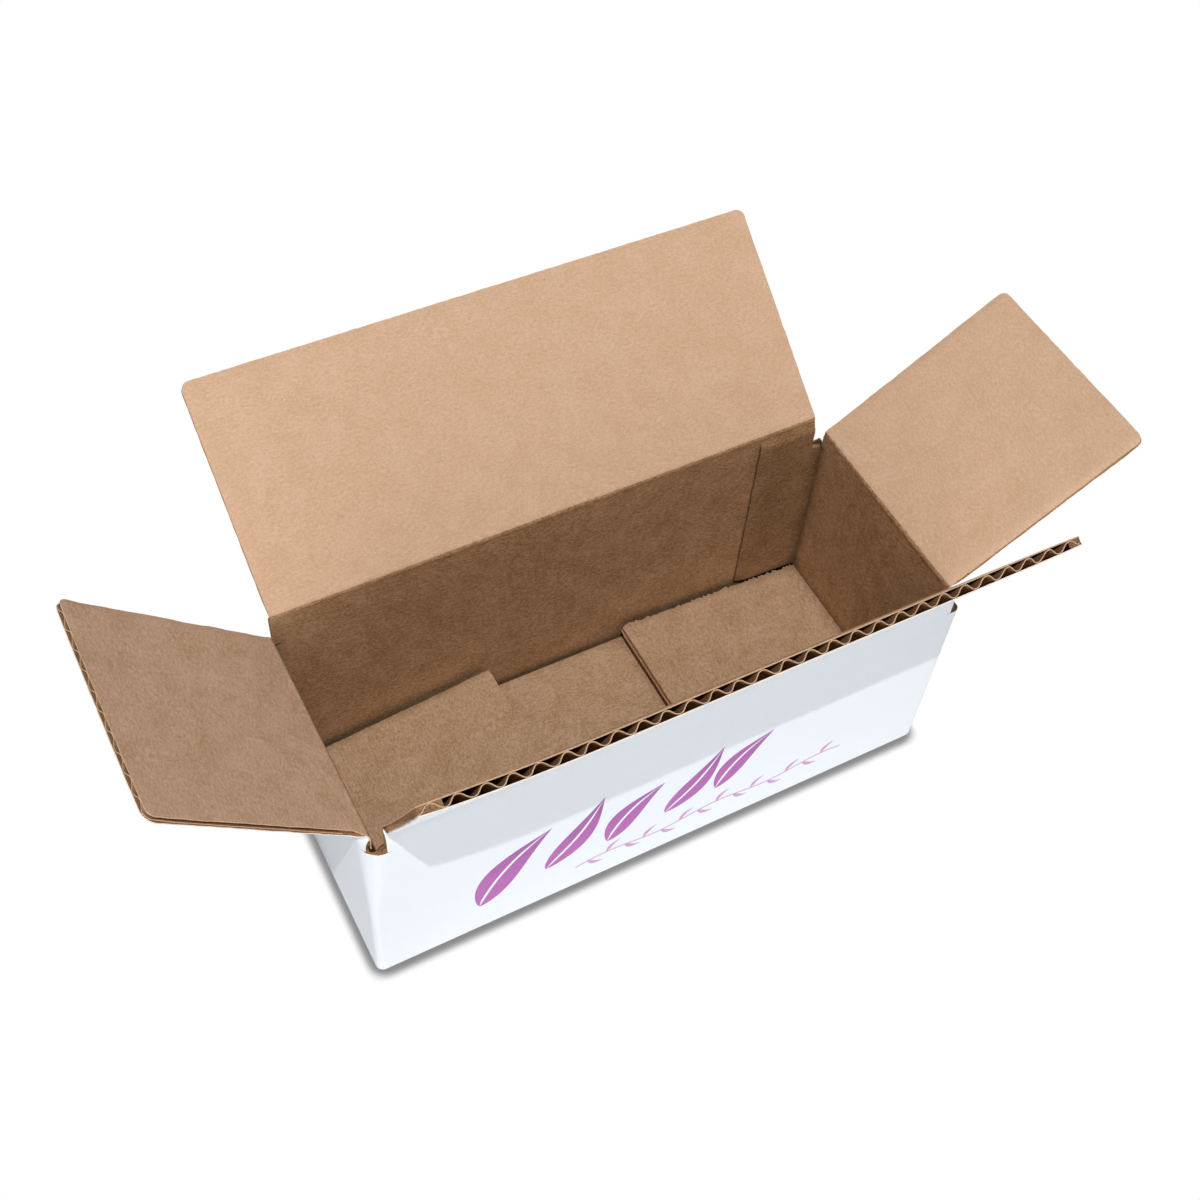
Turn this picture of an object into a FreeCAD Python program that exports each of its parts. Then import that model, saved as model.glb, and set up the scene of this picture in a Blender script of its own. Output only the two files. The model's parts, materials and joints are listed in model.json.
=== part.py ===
import FreeCAD, Part
import os
import Sketcher

# A slotted shipping carton with full-overlap flaps, folded from one sheet of B-flute corrugated board.
# The walls, the glue tab and the four closed bottom flaps are one folded solid, carton_body. Each top
# flap turns on its own crushed fold line, so it is a solid of its own.
# Frame: X runs along the long side, Y to the back, Z up. The origin is the middle of the footprint.

document = FreeCAD.newDocument("slotted_carton")

# Driving dimensions: millimetres, and degrees where the note says so.
SIZES = [
    ("length", 185.5, "outside, end wall to end wall"),
    ("width", 75.5, "outside, front wall to back wall"),
    ("board", 2.9, "thickness of the corrugated board"),
    ("end_fold", 75.0, "height of the fold lines of the end flaps"),
    ("fold_step", 3.0, "the front flap folds this much higher, and the back flap as much again"),
    ("flap_reach", 67.5, "fold line to free edge"),
    ("long_flap", 178.0, "width of the front and back flaps"),
    ("short_flap", 66.2, "width of the end flaps"),
    ("slot_depth", 6.0, "the slots between the top flaps end this far below the fold of the end flaps"),
    ("corner_round", 2.5, "radius on the free corners of a top flap"),
    ("wall_round", 2.2, "outside radius where the sheet folds round an upright corner"),
    ("base_round", 2.0, "outside radius where a wall folds into the bottom"),
    ("fold_inside", 0.9, "fold axis below the inner face of the board"),
    ("inner_bevel", 48.0, "degrees, slope of the crushed board on the inside of a fold"),
    ("outer_bevel", 70.0, "degrees, slope of the crushed board on the outside of a fold"),
    ("bead", 0.45, "radius of the rolled paper that the fold turns on"),
    ("seat_gap", 0.12, "air between that bead and the root of the flap"),
    ("pitch", 6.3, "one flute to the next"),
    ("liner", 0.32, "paper facing each side of the board"),
    ("medium", 0.28, "fluted paper between the facings"),
    ("flute_round", 1.2, "inside radius at the crown of a flute"),
    ("flute_slope", 42.0, "degrees, flank of a flute"),
    ("flute_start", -1.9, "side edge of a flap to the crown of the flute that the edge cuts open"),
    ("crushed_root", 8.0, "length of flattened flutes between the fold line and the open ones"),
    ("slit", 0.5, "gap beside the flattened medium, in the cut edge of a bottom flap"),
    ("slit_depth", 1.5, "depth of that gap"),
    ("tab_width", 22.5, "glue tab, measured from the end wall"),
    ("tab_board", 1.5, "thickness of the pressed glue tab"),
    ("tab_foot", 9.8, "height at which the glue tab starts"),
    ("tab_drop", 1.5, "the glue tab ends this far below the fold of the back flap"),
    ("tab_cut", 4.0, "slant on the foot of the glue tab"),
    ("seam_depth", 1.3, "groove where the glued back wall meets the end wall"),
    ("layer_gap", 0.3, "air between stacked bottom flaps"),
    ("left_lift", 7.5, "degrees, how far the left inner bottom flap springs up"),
    ("right_lift", 3.0, "degrees, the same for the right one"),
    ("back_open", 33.0, "degrees above horizontal, outward"),
    ("front_open", 62.0, "degrees above horizontal, outward"),
    ("left_open", 43.5, "degrees above horizontal, outward"),
    ("right_open", 33.0, "degrees above horizontal, outward"),
]

sheet = document.addObject("Spreadsheet::Sheet", "Sizes")
for row, (alias, value, note) in enumerate(SIZES, start=1):
    sheet.set(f"A{row}", alias)
    sheet.set(f"B{row}", str(value))
    sheet.setAlias(f"B{row}", alias)
    sheet.set(f"C{row}", note)
document.recompute()

# Expressions shared by several sub-parts.
FOLD_OUTSIDE = "(Sizes.board - Sizes.fold_inside)"
FOLD_X = f"(Sizes.length / 2 - {FOLD_OUTSIDE})"
FOLD_Y = f"(Sizes.width / 2 - {FOLD_OUTSIDE})"
INNER_X = "(Sizes.length / 2 - Sizes.board)"
INNER_Y = "(Sizes.width / 2 - Sizes.board)"
INNER_RUN = "(Sizes.fold_inside * tan(Sizes.inner_bevel))"
OUTER_RUN = f"({FOLD_OUTSIDE} * tan(Sizes.outer_bevel))"
LAYER = "(Sizes.board + Sizes.layer_gap)"
SLOT_FLOOR = "(Sizes.end_fold - Sizes.slot_depth)"
FRONT_FOLD = "(Sizes.end_fold + Sizes.fold_step)"
BACK_FOLD = "(Sizes.end_fold + 2 * Sizes.fold_step)"


def value(expression):
    """The present value of an expression over the driving dimensions, as a plain number."""
    result = sheet.evalExpression(expression)
    return float(getattr(result, "Value", result))


def origin_feature(body, role):
    return next(feature for feature in body.Origin.OriginFeatures if feature.Role == role)


def new_body(name):
    body = document.addObject("PartDesign::Body", name)
    body.Label = name
    return body


def new_sketch(body, name, plane, offset="0"):
    """A sketch on one of the body's origin planes, moved along the plane's normal by offset."""
    sketch = body.newObject("Sketcher::SketchObject", name)
    sketch.AttachmentSupport = [(origin_feature(body, plane), "")]
    sketch.MapMode = "FlatFace"
    if offset != "0":
        sketch.setExpression("AttachmentOffset.Base.z", offset)
    return sketch


def bind(sketch, kind, *reference, to):
    """Adds a dimension whose value follows an expression."""
    index = sketch.addConstraint(Sketcher.Constraint(kind, *reference, value(to)))
    name = f"size_{index}"
    sketch.renameConstraint(index, name)
    sketch.setExpression(f"Constraints.{name}", to)


def pin(sketch, geometry, point, x, y):
    """Places one point of the sketch by a pair of expressions measured from the sketch origin."""
    for kind, axis, place in (("DistanceX", -2, x), ("DistanceY", -1, y)):
        if place == "0":
            sketch.addConstraint(Sketcher.Constraint("PointOnObject", geometry, point, axis))
        else:
            bind(sketch, kind, -1, 1, geometry, point, to=place)


def vector(x, y):
    return FreeCAD.Vector(value(x), value(y), 0)


def outline(sketch, corners):
    """Adds a closed polygon through corners, each a pair of expressions."""
    first, count = sketch.GeometryCount, len(corners)
    for start, end in zip(corners, corners[1:] + corners[:1]):
        sketch.addGeometry(Part.LineSegment(vector(*start), vector(*end)), False)
    for side in range(count):
        following = first + (side + 1) % count
        sketch.addConstraint(Sketcher.Constraint("Coincident", first + side, 2, following, 1))
    for side, corner in enumerate(corners):
        pin(sketch, first + side, 1, *corner)


def circle(sketch, radius):
    """A circle about the sketch origin."""
    sketch.addGeometry(Part.Circle(vector("0", "0"), FreeCAD.Vector(0, 0, 1), value(radius)), False)
    sketch.addConstraint(Sketcher.Constraint("Coincident", 0, 3, -1, 1))
    bind(sketch, "Radius", 0, to=radius)


def tunnel(sketch, middle, liner_face, side):
    """One open flute: a flat along the liner and a round crown on the side (+1 up, -1 down) away from it."""
    depth = "(Sizes.board - 2 * Sizes.liner - Sizes.medium)"
    flank = f"({depth} - Sizes.flute_round * (1 - cos(Sizes.flute_slope))) / tan(Sizes.flute_slope)"
    half = f"(Sizes.flute_round * sin(Sizes.flute_slope) + {flank})"
    left, right = f"{middle} - {half}", f"{middle} + {half}"
    centre_y = f"{liner_face} + ({side}) * ({depth} - Sizes.flute_round)"
    reach = value("Sizes.flute_round")
    slope = FreeCAD.Units.Quantity(value("Sizes.flute_slope"), FreeCAD.Units.Angle).getValueAs("rad").Value
    crown = 1.5707963 * side
    arc = Part.ArcOfCircle(
        Part.Circle(vector(middle, centre_y), FreeCAD.Vector(0, 0, 1), reach), crown - slope, crown + slope
    )
    low, high = arc.value(arc.FirstParameter), arc.value(arc.LastParameter)
    if side > 0:
        low, high = high, low
    first = sketch.GeometryCount
    flat, rising, bend, falling = first, first + 1, first + 2, first + 3
    sketch.addGeometry(Part.LineSegment(vector(left, liner_face), vector(right, liner_face)), False)
    sketch.addGeometry(Part.LineSegment(vector(right, liner_face), high), False)
    sketch.addGeometry(arc, False)
    sketch.addGeometry(Part.LineSegment(low, vector(left, liner_face)), False)
    bend_right, bend_left = (1, 2) if side > 0 else (2, 1)
    sketch.addConstraint(Sketcher.Constraint("Coincident", flat, 2, rising, 1))
    sketch.addConstraint(Sketcher.Constraint("Coincident", falling, 2, flat, 1))
    sketch.addConstraint(Sketcher.Constraint("Tangent", rising, 2, bend, bend_right))
    sketch.addConstraint(Sketcher.Constraint("Tangent", falling, 1, bend, bend_left))
    pin(sketch, flat, 1, left, liner_face)
    pin(sketch, flat, 2, right, liner_face)
    pin(sketch, bend, 3, middle, centre_y)
    bind(sketch, "Radius", bend, to="Sizes.flute_round")


def extrude(body, kind, sketch, length, symmetric=False, reverse=False):
    """A Pad or Pocket of a sketch, whose length follows an expression."""
    feature = body.newObject(f"PartDesign::{kind}", f"{sketch.Name}_{kind.lower()}")
    feature.Profile = sketch
    feature.setExpression("Length", length)
    feature.SideType = "Symmetric" if symmetric else "One side"
    feature.Reversed = reverse
    document.recompute()
    return feature


def must_shrink(feature, before):
    """Stops where a cut removed nothing, which a wrong direction does without an error."""
    if feature.Shape.Volume > before - 0.01:
        raise RuntimeError(f"{feature.Name} cut nothing")


def round_edges(body, base, radius, test):
    """Fillets the edges of base whose middle point passes the test."""
    names = []
    for index, edge in enumerate(base.Shape.Edges, start=1):
        middle = edge.valueAt((edge.FirstParameter + edge.LastParameter) / 2)
        if test(middle, edge):
            names.append(f"Edge{index}")
    fillet = body.newObject("PartDesign::Fillet", f"{base.Name}_round")
    fillet.Base = (base, names)
    fillet.setExpression("Radius", radius)
    document.recompute()
    return fillet


def along(edge, axis):
    """True for a straight edge that runs along the axis (0, 1 or 2)."""
    start, end = edge.Vertexes[0].Point, edge.Vertexes[-1].Point
    span = [abs(a - b) for a, b in zip(start, end)]
    return span[axis] > 1e-6 and sum(span) - span[axis] < 1e-6


def cut_flutes(body, name, width):
    """Opens the flutes along the free edge of a flap, from the edge to its crushed root."""
    flutes = new_sketch(body, f"{name}_flutes", "XZ_Plane", offset="-Sizes.flap_reach")
    first_crown = f"(Sizes.flute_start - {width} / 2)"
    tunnel(flutes, first_crown, "(Sizes.fold_inside - Sizes.board + Sizes.liner)", 1)
    tunnel(flutes, f"({first_crown} + Sizes.pitch / 2)", "(Sizes.fold_inside - Sizes.liner)", -1)
    before = body.Tip.Shape.Volume
    cut = extrude(body, "Pocket", flutes, "Sizes.flap_reach - Sizes.crushed_root", reverse=True)
    must_shrink(cut, before)

    row = body.newObject("PartDesign::LinearPattern", f"{name}_flute_row")
    row.Originals = [cut]
    row.Direction = (origin_feature(body, "X_Axis"), [""])
    row.setExpression("Occurrences", f"floor({width} / Sizes.pitch) + 2")
    row.setExpression("Length", f"(floor({width} / Sizes.pitch) + 1) * Sizes.pitch")
    before = cut.Shape.Volume
    body.Tip = row
    document.recompute()
    must_shrink(row, before)


def cut_slits(body, name, width):
    """Parts the two liners from the flattened medium along the free edge of a flap."""
    slits = new_sketch(body, f"{name}_slits", "YZ_Plane")
    back = "(Sizes.flap_reach - Sizes.slit_depth)"
    front = "(Sizes.flap_reach + Sizes.slit_depth)"
    upper = "(Sizes.fold_inside - Sizes.liner)"
    lower = "(Sizes.fold_inside - Sizes.board + Sizes.liner)"
    for near, far in ((upper, f"({upper} - Sizes.slit)"), (lower, f"({lower} + Sizes.slit)")):
        outline(slits, [(back, near), (front, near), (front, far), (back, far)])
    before = body.Tip.Shape.Volume
    must_shrink(extrude(body, "Pocket", slits, width, symmetric=True), before)


def flap_board(name, width, hinged):
    """A flap in its own frame: fold axis on X, free edge towards +Y, inner face up.

    A hinged flap has open flutes, round corners and a crushed, bevelled root that turns on the bead of its
    wall. A flap that stays folded has a flattened edge and starts inside the wall that carries it.
    """
    body = new_body(name)
    inner, outer = "Sizes.fold_inside", "(Sizes.fold_inside - Sizes.board)"
    if hinged:
        root = [("0", "0"), (OUTER_RUN, outer)]
        root_end = [(INNER_RUN, inner)]
    else:
        root = [("0", outer)]
        root_end = [("0", inner)]
    side_view = new_sketch(body, f"{name}_section", "YZ_Plane")
    outline(side_view, root + [("Sizes.flap_reach", outer), ("Sizes.flap_reach", inner)] + root_end)
    solid = extrude(body, "Pad", side_view, width, symmetric=True)

    if hinged:
        seat = new_sketch(body, f"{name}_seat", "YZ_Plane")
        circle(seat, "Sizes.bead + Sizes.seat_gap")
        before = solid.Shape.Volume
        solid = extrude(body, "Pocket", seat, width, symmetric=True)
        must_shrink(solid, before)

    if hinged:
        tip = value("Sizes.flap_reach")
        round_edges(
            body, solid, "Sizes.corner_round", lambda middle, edge: along(edge, 2) and middle.y > tip - 1e-3
        )
        cut_flutes(body, name, width)
    else:
        cut_slits(body, name, width)
    return body


def fold_ridge(name, width, fold_height):
    """The crushed top of a wall below a fold, in the flap's frame, with the bead that the flap turns on."""
    body = new_body(name)
    inner, outer = "Sizes.fold_inside", "(Sizes.fold_inside - Sizes.board)"
    foot = f"({SLOT_FLOOR} - {fold_height})"
    section = new_sketch(body, f"{name}_section", "YZ_Plane")
    outline(
        section,
        [("0", "0"), (f"-{INNER_RUN}", inner), (foot, inner), (foot, outer), (f"-{OUTER_RUN}", outer)],
    )
    extrude(body, "Pad", section, width, symmetric=True)
    bead = new_sketch(body, f"{name}_bead", "YZ_Plane")
    circle(bead, "Sizes.bead")
    extrude(body, "Pad", bead, width, symmetric=True)
    return body


def place(body, x, y, z, turn, tilt):
    """Turns a board about Z, after tilting it up about its fold axis, and moves the fold axis to x, y, z."""
    body.setExpression("Placement", f"placement(vector({x}; {y}; {z}); rotation({turn}; 0; {tilt}))")


def walls():
    """The four walls with the glue tab inside the back wall, up to the floor of the slots."""
    body = new_body("walls")
    half_x, half_y = "Sizes.length / 2", "Sizes.width / 2"
    outside = new_sketch(body, "wall_outside", "XY_Plane")
    signs = [(-1, -1), (1, -1), (1, 1), (-1, 1)]
    outline(outside, [(f"{a} * {half_x}", f"{b} * {half_y}") for a, b in signs])
    solid = extrude(body, "Pad", outside, SLOT_FLOOR)

    # The sheet folds round three upright corners. At the back right one the back wall ends in a cut edge.
    def folded_corner(middle, edge):
        return along(edge, 2) and not (middle.x > 0 and middle.y > 0)

    solid = round_edges(body, solid, "Sizes.wall_round", folded_corner)
    solid = round_edges(body, solid, "Sizes.base_round", lambda middle, edge: middle.z < 1e-3)

    inside = new_sketch(body, "wall_inside", "XY_Plane")
    outline(inside, [(f"{a} * {INNER_X}", f"{b} * {INNER_Y}") for a, b in signs])
    before = solid.Shape.Volume
    solid = extrude(body, "Pocket", inside, SLOT_FLOOR, reverse=True)
    must_shrink(solid, before)

    seam = new_sketch(body, "seam", "XY_Plane")
    deep = f"({half_x} - Sizes.seam_depth)"
    outline(
        seam,
        [
            (f"({half_x} + Sizes.seam_depth)", f"({INNER_Y} - 2 * Sizes.seam_depth)"),
            (f"({half_x} + Sizes.seam_depth)", INNER_Y),
            (deep, INNER_Y),
        ],
    )
    before = solid.Shape.Volume
    solid = extrude(body, "Pocket", seam, SLOT_FLOOR, reverse=True)
    must_shrink(solid, before)

    tab = new_sketch(body, "glue_tab", "XZ_Plane", offset=f"-{INNER_Y}")
    edge_x = f"({INNER_X} - Sizes.tab_width)"
    tab_head = f"({BACK_FOLD} - Sizes.tab_drop)"
    outline(
        tab,
        [
            (INNER_X, "Sizes.tab_foot"),
            (edge_x, "Sizes.tab_foot + Sizes.tab_cut"),
            (edge_x, tab_head),
            ("Sizes.long_flap / 2", tab_head),
            ("Sizes.long_flap / 2", SLOT_FLOOR),
            (INNER_X, SLOT_FLOOR),
        ],
    )
    extrude(body, "Pad", tab, "Sizes.tab_board")
    return body


def inner_bottom_flap():
    """The long flap folded in from the back wall: it steps up over the outer one's edge and lies on it."""
    body = new_body("bottom_back")
    section = new_sketch(body, "bottom_back_section", "YZ_Plane")
    outer_end = f"(Sizes.flap_reach - {FOLD_Y})"
    free_edge = f"({FOLD_Y} - Sizes.flap_reach)"
    step = f"({outer_end} + Sizes.layer_gap)"
    outline(
        section,
        [
            (INNER_Y, "0"),
            (f"({INNER_Y} - Sizes.layer_gap)", "0"),
            (step, LAYER),
            (free_edge, LAYER),
            (free_edge, f"({LAYER} + Sizes.board)"),
            (f"({step} + Sizes.layer_gap)", f"({LAYER} + Sizes.board)"),
            (INNER_Y, "Sizes.board + Sizes.layer_gap"),
        ],
    )
    extrude(body, "Pad", section, "Sizes.long_flap", symmetric=True)
    return body


# Top flaps: turned 0, 90, 180 and -90 degrees about Z, and tilted to the angle at which each one stands.
back_flap = flap_board("back_flap", "Sizes.long_flap", hinged=True)
place(back_flap, "0", FOLD_Y, BACK_FOLD, 0, "Sizes.back_open")
front_flap = flap_board("front_flap", "Sizes.long_flap", hinged=True)
place(front_flap, "0", f"-{FOLD_Y}", FRONT_FOLD, 180, "Sizes.front_open")
left_flap = flap_board("left_flap", "Sizes.short_flap", hinged=True)
place(left_flap, f"-{FOLD_X}", "0", "Sizes.end_fold", 90, "Sizes.left_open")
right_flap = flap_board("right_flap", "Sizes.short_flap", hinged=True)
place(right_flap, FOLD_X, "0", "Sizes.end_fold", -90, "Sizes.right_open")

# Ridges stand upright, so they are tilted by 90 degrees.
back_ridge = fold_ridge("back_ridge", "Sizes.long_flap", BACK_FOLD)
place(back_ridge, "0", FOLD_Y, BACK_FOLD, 0, 90)
front_ridge = fold_ridge("front_ridge", "Sizes.long_flap", FRONT_FOLD)
place(front_ridge, "0", f"-{FOLD_Y}", FRONT_FOLD, 180, 90)
left_ridge = fold_ridge("left_ridge", "Sizes.short_flap", "Sizes.end_fold")
place(left_ridge, f"-{FOLD_X}", "0", "Sizes.end_fold", 90, 90)
right_ridge = fold_ridge("right_ridge", "Sizes.short_flap", "Sizes.end_fold")
place(right_ridge, FOLD_X, "0", "Sizes.end_fold", -90, 90)

# Bottom flaps: the front one outside, the back one on it, then the two end flaps on top.
bottom_front = flap_board("bottom_front", "Sizes.long_flap", hinged=False)
place(bottom_front, "0", f"-{FOLD_Y}", FOLD_OUTSIDE, 0, 0)
bottom_back = inner_bottom_flap()
END_LAYER = f"(2 * {LAYER} + {FOLD_OUTSIDE})"
bottom_left = flap_board("bottom_left", "Sizes.short_flap", hinged=False)
place(bottom_left, f"-{FOLD_X}", "0", END_LAYER, -90, "Sizes.left_lift")
bottom_right = flap_board("bottom_right", "Sizes.short_flap", hinged=False)
place(bottom_right, FOLD_X, "0", END_LAYER, 90, "Sizes.right_lift")

carton_body = document.addObject("Part::MultiFuse", "carton_body")
carton_body.Label = "carton_body"
ridges = [back_ridge, front_ridge, left_ridge, right_ridge]
bottom_flaps = [bottom_front, bottom_back, bottom_left, bottom_right]
carton_body.Shapes = [walls()] + ridges + bottom_flaps
carton_body.Refine = True
document.recompute()

for item in document.Objects:
    if "Invalid" in item.State or "Error" in item.State:
        raise RuntimeError(f"{item.Name} did not build: {item.State}")

sub_parts = [carton_body, back_flap, front_flap, left_flap, right_flap]
for item in sub_parts:
    shape = item.Shape
    if shape.isNull() or not shape.isValid() or len(shape.Solids) != 1:
        raise RuntimeError(f"{item.Label} is not one valid solid")

os.makedirs("parts", exist_ok=True)
for item in sub_parts:
    item.Shape.exportStep(f"parts/{item.Label}.step")
    box = item.Shape.BoundBox
    x_span = f"X {box.XMin:.1f} {box.XMax:.1f}"
    y_span = f"Y {box.YMin:.1f} {box.YMax:.1f}"
    z_span = f"Z {box.ZMin:.1f} {box.ZMax:.1f}"
    volume = item.Shape.Volume / 1000
    print(f"{item.Label}: {volume:.1f} cm3, {len(item.Shape.Faces)} faces, {x_span}, {y_span}, {z_span}")
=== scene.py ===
import json
import math

import bpy
import numpy as np
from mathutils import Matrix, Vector

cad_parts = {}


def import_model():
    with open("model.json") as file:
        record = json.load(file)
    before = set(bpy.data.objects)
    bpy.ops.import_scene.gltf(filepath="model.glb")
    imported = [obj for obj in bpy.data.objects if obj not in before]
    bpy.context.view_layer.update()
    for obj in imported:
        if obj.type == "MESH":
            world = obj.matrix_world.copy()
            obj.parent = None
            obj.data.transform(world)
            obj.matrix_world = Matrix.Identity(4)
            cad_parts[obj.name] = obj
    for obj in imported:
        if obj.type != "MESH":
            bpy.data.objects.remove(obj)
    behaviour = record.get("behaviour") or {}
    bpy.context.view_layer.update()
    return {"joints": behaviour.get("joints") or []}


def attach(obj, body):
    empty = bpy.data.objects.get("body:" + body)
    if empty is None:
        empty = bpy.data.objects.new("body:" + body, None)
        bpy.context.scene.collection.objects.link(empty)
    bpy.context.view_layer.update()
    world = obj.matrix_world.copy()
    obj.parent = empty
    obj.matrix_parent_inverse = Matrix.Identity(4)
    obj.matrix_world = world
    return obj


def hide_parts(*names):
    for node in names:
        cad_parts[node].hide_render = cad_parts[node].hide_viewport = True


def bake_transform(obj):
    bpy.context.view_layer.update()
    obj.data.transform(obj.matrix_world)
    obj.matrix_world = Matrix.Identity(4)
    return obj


# A slotted carton of B-flute board, white outside and brown kraft inside, standing open.
# Lengths are millimetres up to add_mesh, which turns them into metres. Lamps and the camera are
# placed in metres.
#
# Board coordinates (x, s, w) belong to one wall and its flap: x runs along the fold line, s is the
# distance from the fold line (above zero on the flap, below zero on the wall), and w points to the
# kraft side. The fold axis is s = w = 0.
#
# A pair of values for the two cut sides of a flap has the side where x is negative first.

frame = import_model()
MM = 1000.0
UP = np.array([0, 0, 1.0])
SIGNS = (-1, 1)

# The board. w is INNER_FACE on its kraft face and OUTER_FACE on its white face. THINNEST is what is
# left of it where it is crushed.
BOARD = 2.9
INNER_FACE = 0.9
OUTER_FACE = INNER_FACE - BOARD
LINER = 0.32
MEDIUM = 0.26
THINNEST = 0.6

# The flutes: one crown stands FLUTE_START from a flap's cut side, and they begin at FLUTE_ROOT from the
# fold. They end a little inside the liners.
PITCH = 6.3
FLUTE_START = -1.9
FLUTE_ROOT = 6.5
FLUTE_SIDE_GAP = 0.15
FLUTE_TIP_GAP = 0.12

# The carton and its flaps, which are REACH long from the fold to the free edge. TIP is the stretch
# before that edge.
HALF_LENGTH = 185.5 / 2
HALF_WIDTH = 75.5 / 2
SLOT_FLOOR = 69.0
REACH = 67.25
LONG_FLAP = 178.0
SHORT_FLAP = 66.2
CORNER = 2.5
TIP = 3.0

# The walls' corner radii. The front left corner is crushed rounder from ROUND_FROM up to its slot, and
# this dies out over ROUND_LENGTH of the flap.
WALL_CORNER = 2.2
SEAM_CORNER = 0.5
SLOT_RADIUS = 6.0
ROUND_FROM = 35.0
ROUND_LENGTH = 12.0
BASE_RADIUS = 2.0
INNER_CORNERS = (0.7, 0.7, 0.4, 0.7)

# The bottom flaps lie one LAYER above another, and the two upper ones are sprung up by some degrees.
LAYER = BOARD + 0.3
LEFT_LIFT = 7.5
RIGHT_LIFT = 3.0

# The glue tab, whose foot slants up towards its free edge, and whose head is just below the back fold.
# It goes on into the right wall, and above the slots' floor it is cut back from the corner.
TAB_WIDTH = 22.5
TAB_THICKNESS = 1.5
TAB_FOOT = 9.8
TAB_SLANT = 1.0
TAB_BELOW_FOLD = 1.0
TAB_INTO_WALL = 0.7
TAB_CUT_BACK = 2.7

# The crease: half the length of board that bends, how far it strays from a straight line, and its dents
# in both faces. CORNER_DENT is the groove inside the upright corners. Each dent has a depth and a width.
BEND_HALF = 1.6
CREASE_DRIFT = 0.22
KRAFT_DENT = (0.05, 0.8)
WHITE_DENT = (1.45, 2.4)
CORNER_DENT = (0.9, 2.2)

# Damage beside the slots. The cut sides are pinched from PINCH_START up. Where the white face is pushed
# in, that sets in over PRESS_RISE above the slot's floor and fades over PRESS_LENGTH from PRESS_FADE.
PINCH_START = -1.5
PRESS_RISE = 6.0
PRESS_FADE = 4.0
PRESS_LENGTH = 55.0


# ---------------------------------------------------------------- noise

NOISE_VALUES = 4096


def smooth(t):
    t = np.clip(t, 0.0, 1.0)
    return t * t * (3 - 2 * t)


def ragged(x, seed, step):
    """Smooth random curve between -1 and 1 over x, with a new value each step."""
    values = np.random.default_rng(seed).uniform(-1.0, 1.0, NOISE_VALUES)
    place = np.asarray(x, float) / step + NOISE_VALUES // 2
    low = np.floor(place).astype(int)
    share = smooth(place - low)
    return values[low % NOISE_VALUES] * (1 - share) + values[(low + 1) % NOISE_VALUES] * share


def rough(x, seed, step):
    """The same with two finer octaves, for torn paper."""
    coarse = ragged(x, seed, step)
    finer = ragged(x, seed + 1, step / 2.3)
    finest = ragged(x, seed + 2, step / 5.1)
    return (coarse + 0.5 * finer + 0.3 * finest) / 1.8


# ---------------------------------------------------------------- meshes

SHARP_ANGLE = math.radians(38)
TOP, BOTTOM, EDGE, SECOND = range(4)


def in_metres(points):
    return np.asarray(points, float).reshape(-1, 3) / MM


def add_mesh(name, points, quads, kinds, materials, board=None):
    """A mesh from points in mm and quads, with a material number for each quad.

    board gives each point's board coordinates, which the paper materials read for grain and flutes.
    """
    mesh = bpy.data.meshes.new(name)
    quads = np.asarray(quads, int).reshape(-1, 4)
    mesh.from_pydata(in_metres(points).tolist(), [], quads.tolist())
    for material in materials:
        mesh.materials.append(material)
    mesh.polygons.foreach_set("material_index", np.asarray(kinds, np.int32))
    mesh.polygons.foreach_set("use_smooth", np.ones(len(quads), bool))
    if board is not None:
        attribute = mesh.attributes.new("board", "FLOAT_VECTOR", "POINT")
        attribute.data.foreach_set("vector", in_metres(board).astype(np.float32).ravel())
    mesh.validate()
    mesh.update()
    mesh.set_sharp_from_angle(angle=SHARP_ANGLE)
    piece = bpy.data.objects.new(name, mesh)
    bpy.context.scene.collection.objects.link(piece)
    return piece


def grid_quads(rows, columns, start, closed):
    """Quads of a grid of points stored row by row. A closed grid joins its last row to its first."""
    i = np.arange(rows if closed else rows - 1)[:, None]
    j = np.arange(columns - 1)[None, :]
    a = start + i * columns + j
    b = start + ((i + 1) % rows) * columns + j
    return np.stack([a, b, b + 1, a + 1], -1).reshape(-1, 4)


def rim_quads(line, count, reverse):
    """Quads that join a line of points of the top grid to the same line of the bottom grid."""
    a, b = line[:-1], line[1:]
    quads = np.stack([a, a + count, b + count, b], -1)
    return quads[:, ::-1] if reverse else quads


def slab(name, top, bottom, materials, board_top, board_bottom, closed=False, second=None):
    """A closed sheet between two grids of points. Its materials are for the top, the bottom and the edges.

    Where second is true for a column of the top, those faces take the fourth material.
    """
    rows, columns = top.shape[:2]
    count = rows * columns
    upper = grid_quads(rows, columns, 0, closed)
    lower = grid_quads(rows, columns, count, closed)[:, ::-1]
    index = np.arange(count).reshape(rows, columns)
    around = np.concatenate([index, index[:1]]) if closed else index
    rims = [rim_quads(around[:, 0], count, True), rim_quads(around[:, -1], count, False)]
    if not closed:
        rims += [rim_quads(index[0], count, False), rim_quads(index[-1], count, True)]
    edges = np.concatenate(rims)
    quads = np.concatenate([upper, lower, edges])
    kinds = np.repeat([TOP, BOTTOM, EDGE], [len(upper), len(lower), len(edges)])
    if second is not None:
        kinds[: len(upper)] = np.where(np.tile(second[:-1], len(upper) // (columns - 1)), SECOND, TOP)
    points = np.concatenate([top.reshape(-1, 3), bottom.reshape(-1, 3)])
    board = np.concatenate([board_top.reshape(-1, 3), board_bottom.reshape(-1, 3)])
    return add_mesh(name, points, quads, kinds, materials, board)


# ---------------------------------------------------------------- folds

# How far above level a flap is when its joint is at its least angle, in degrees.
LOWEST = -45.0


def straight(u):
    return np.zeros_like(u)


def cupped(u):
    """A flap whose middle hangs a little below its cut sides, u = -1 and u = 1."""
    return 0.25 * u ** 2 - 0.25


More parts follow.
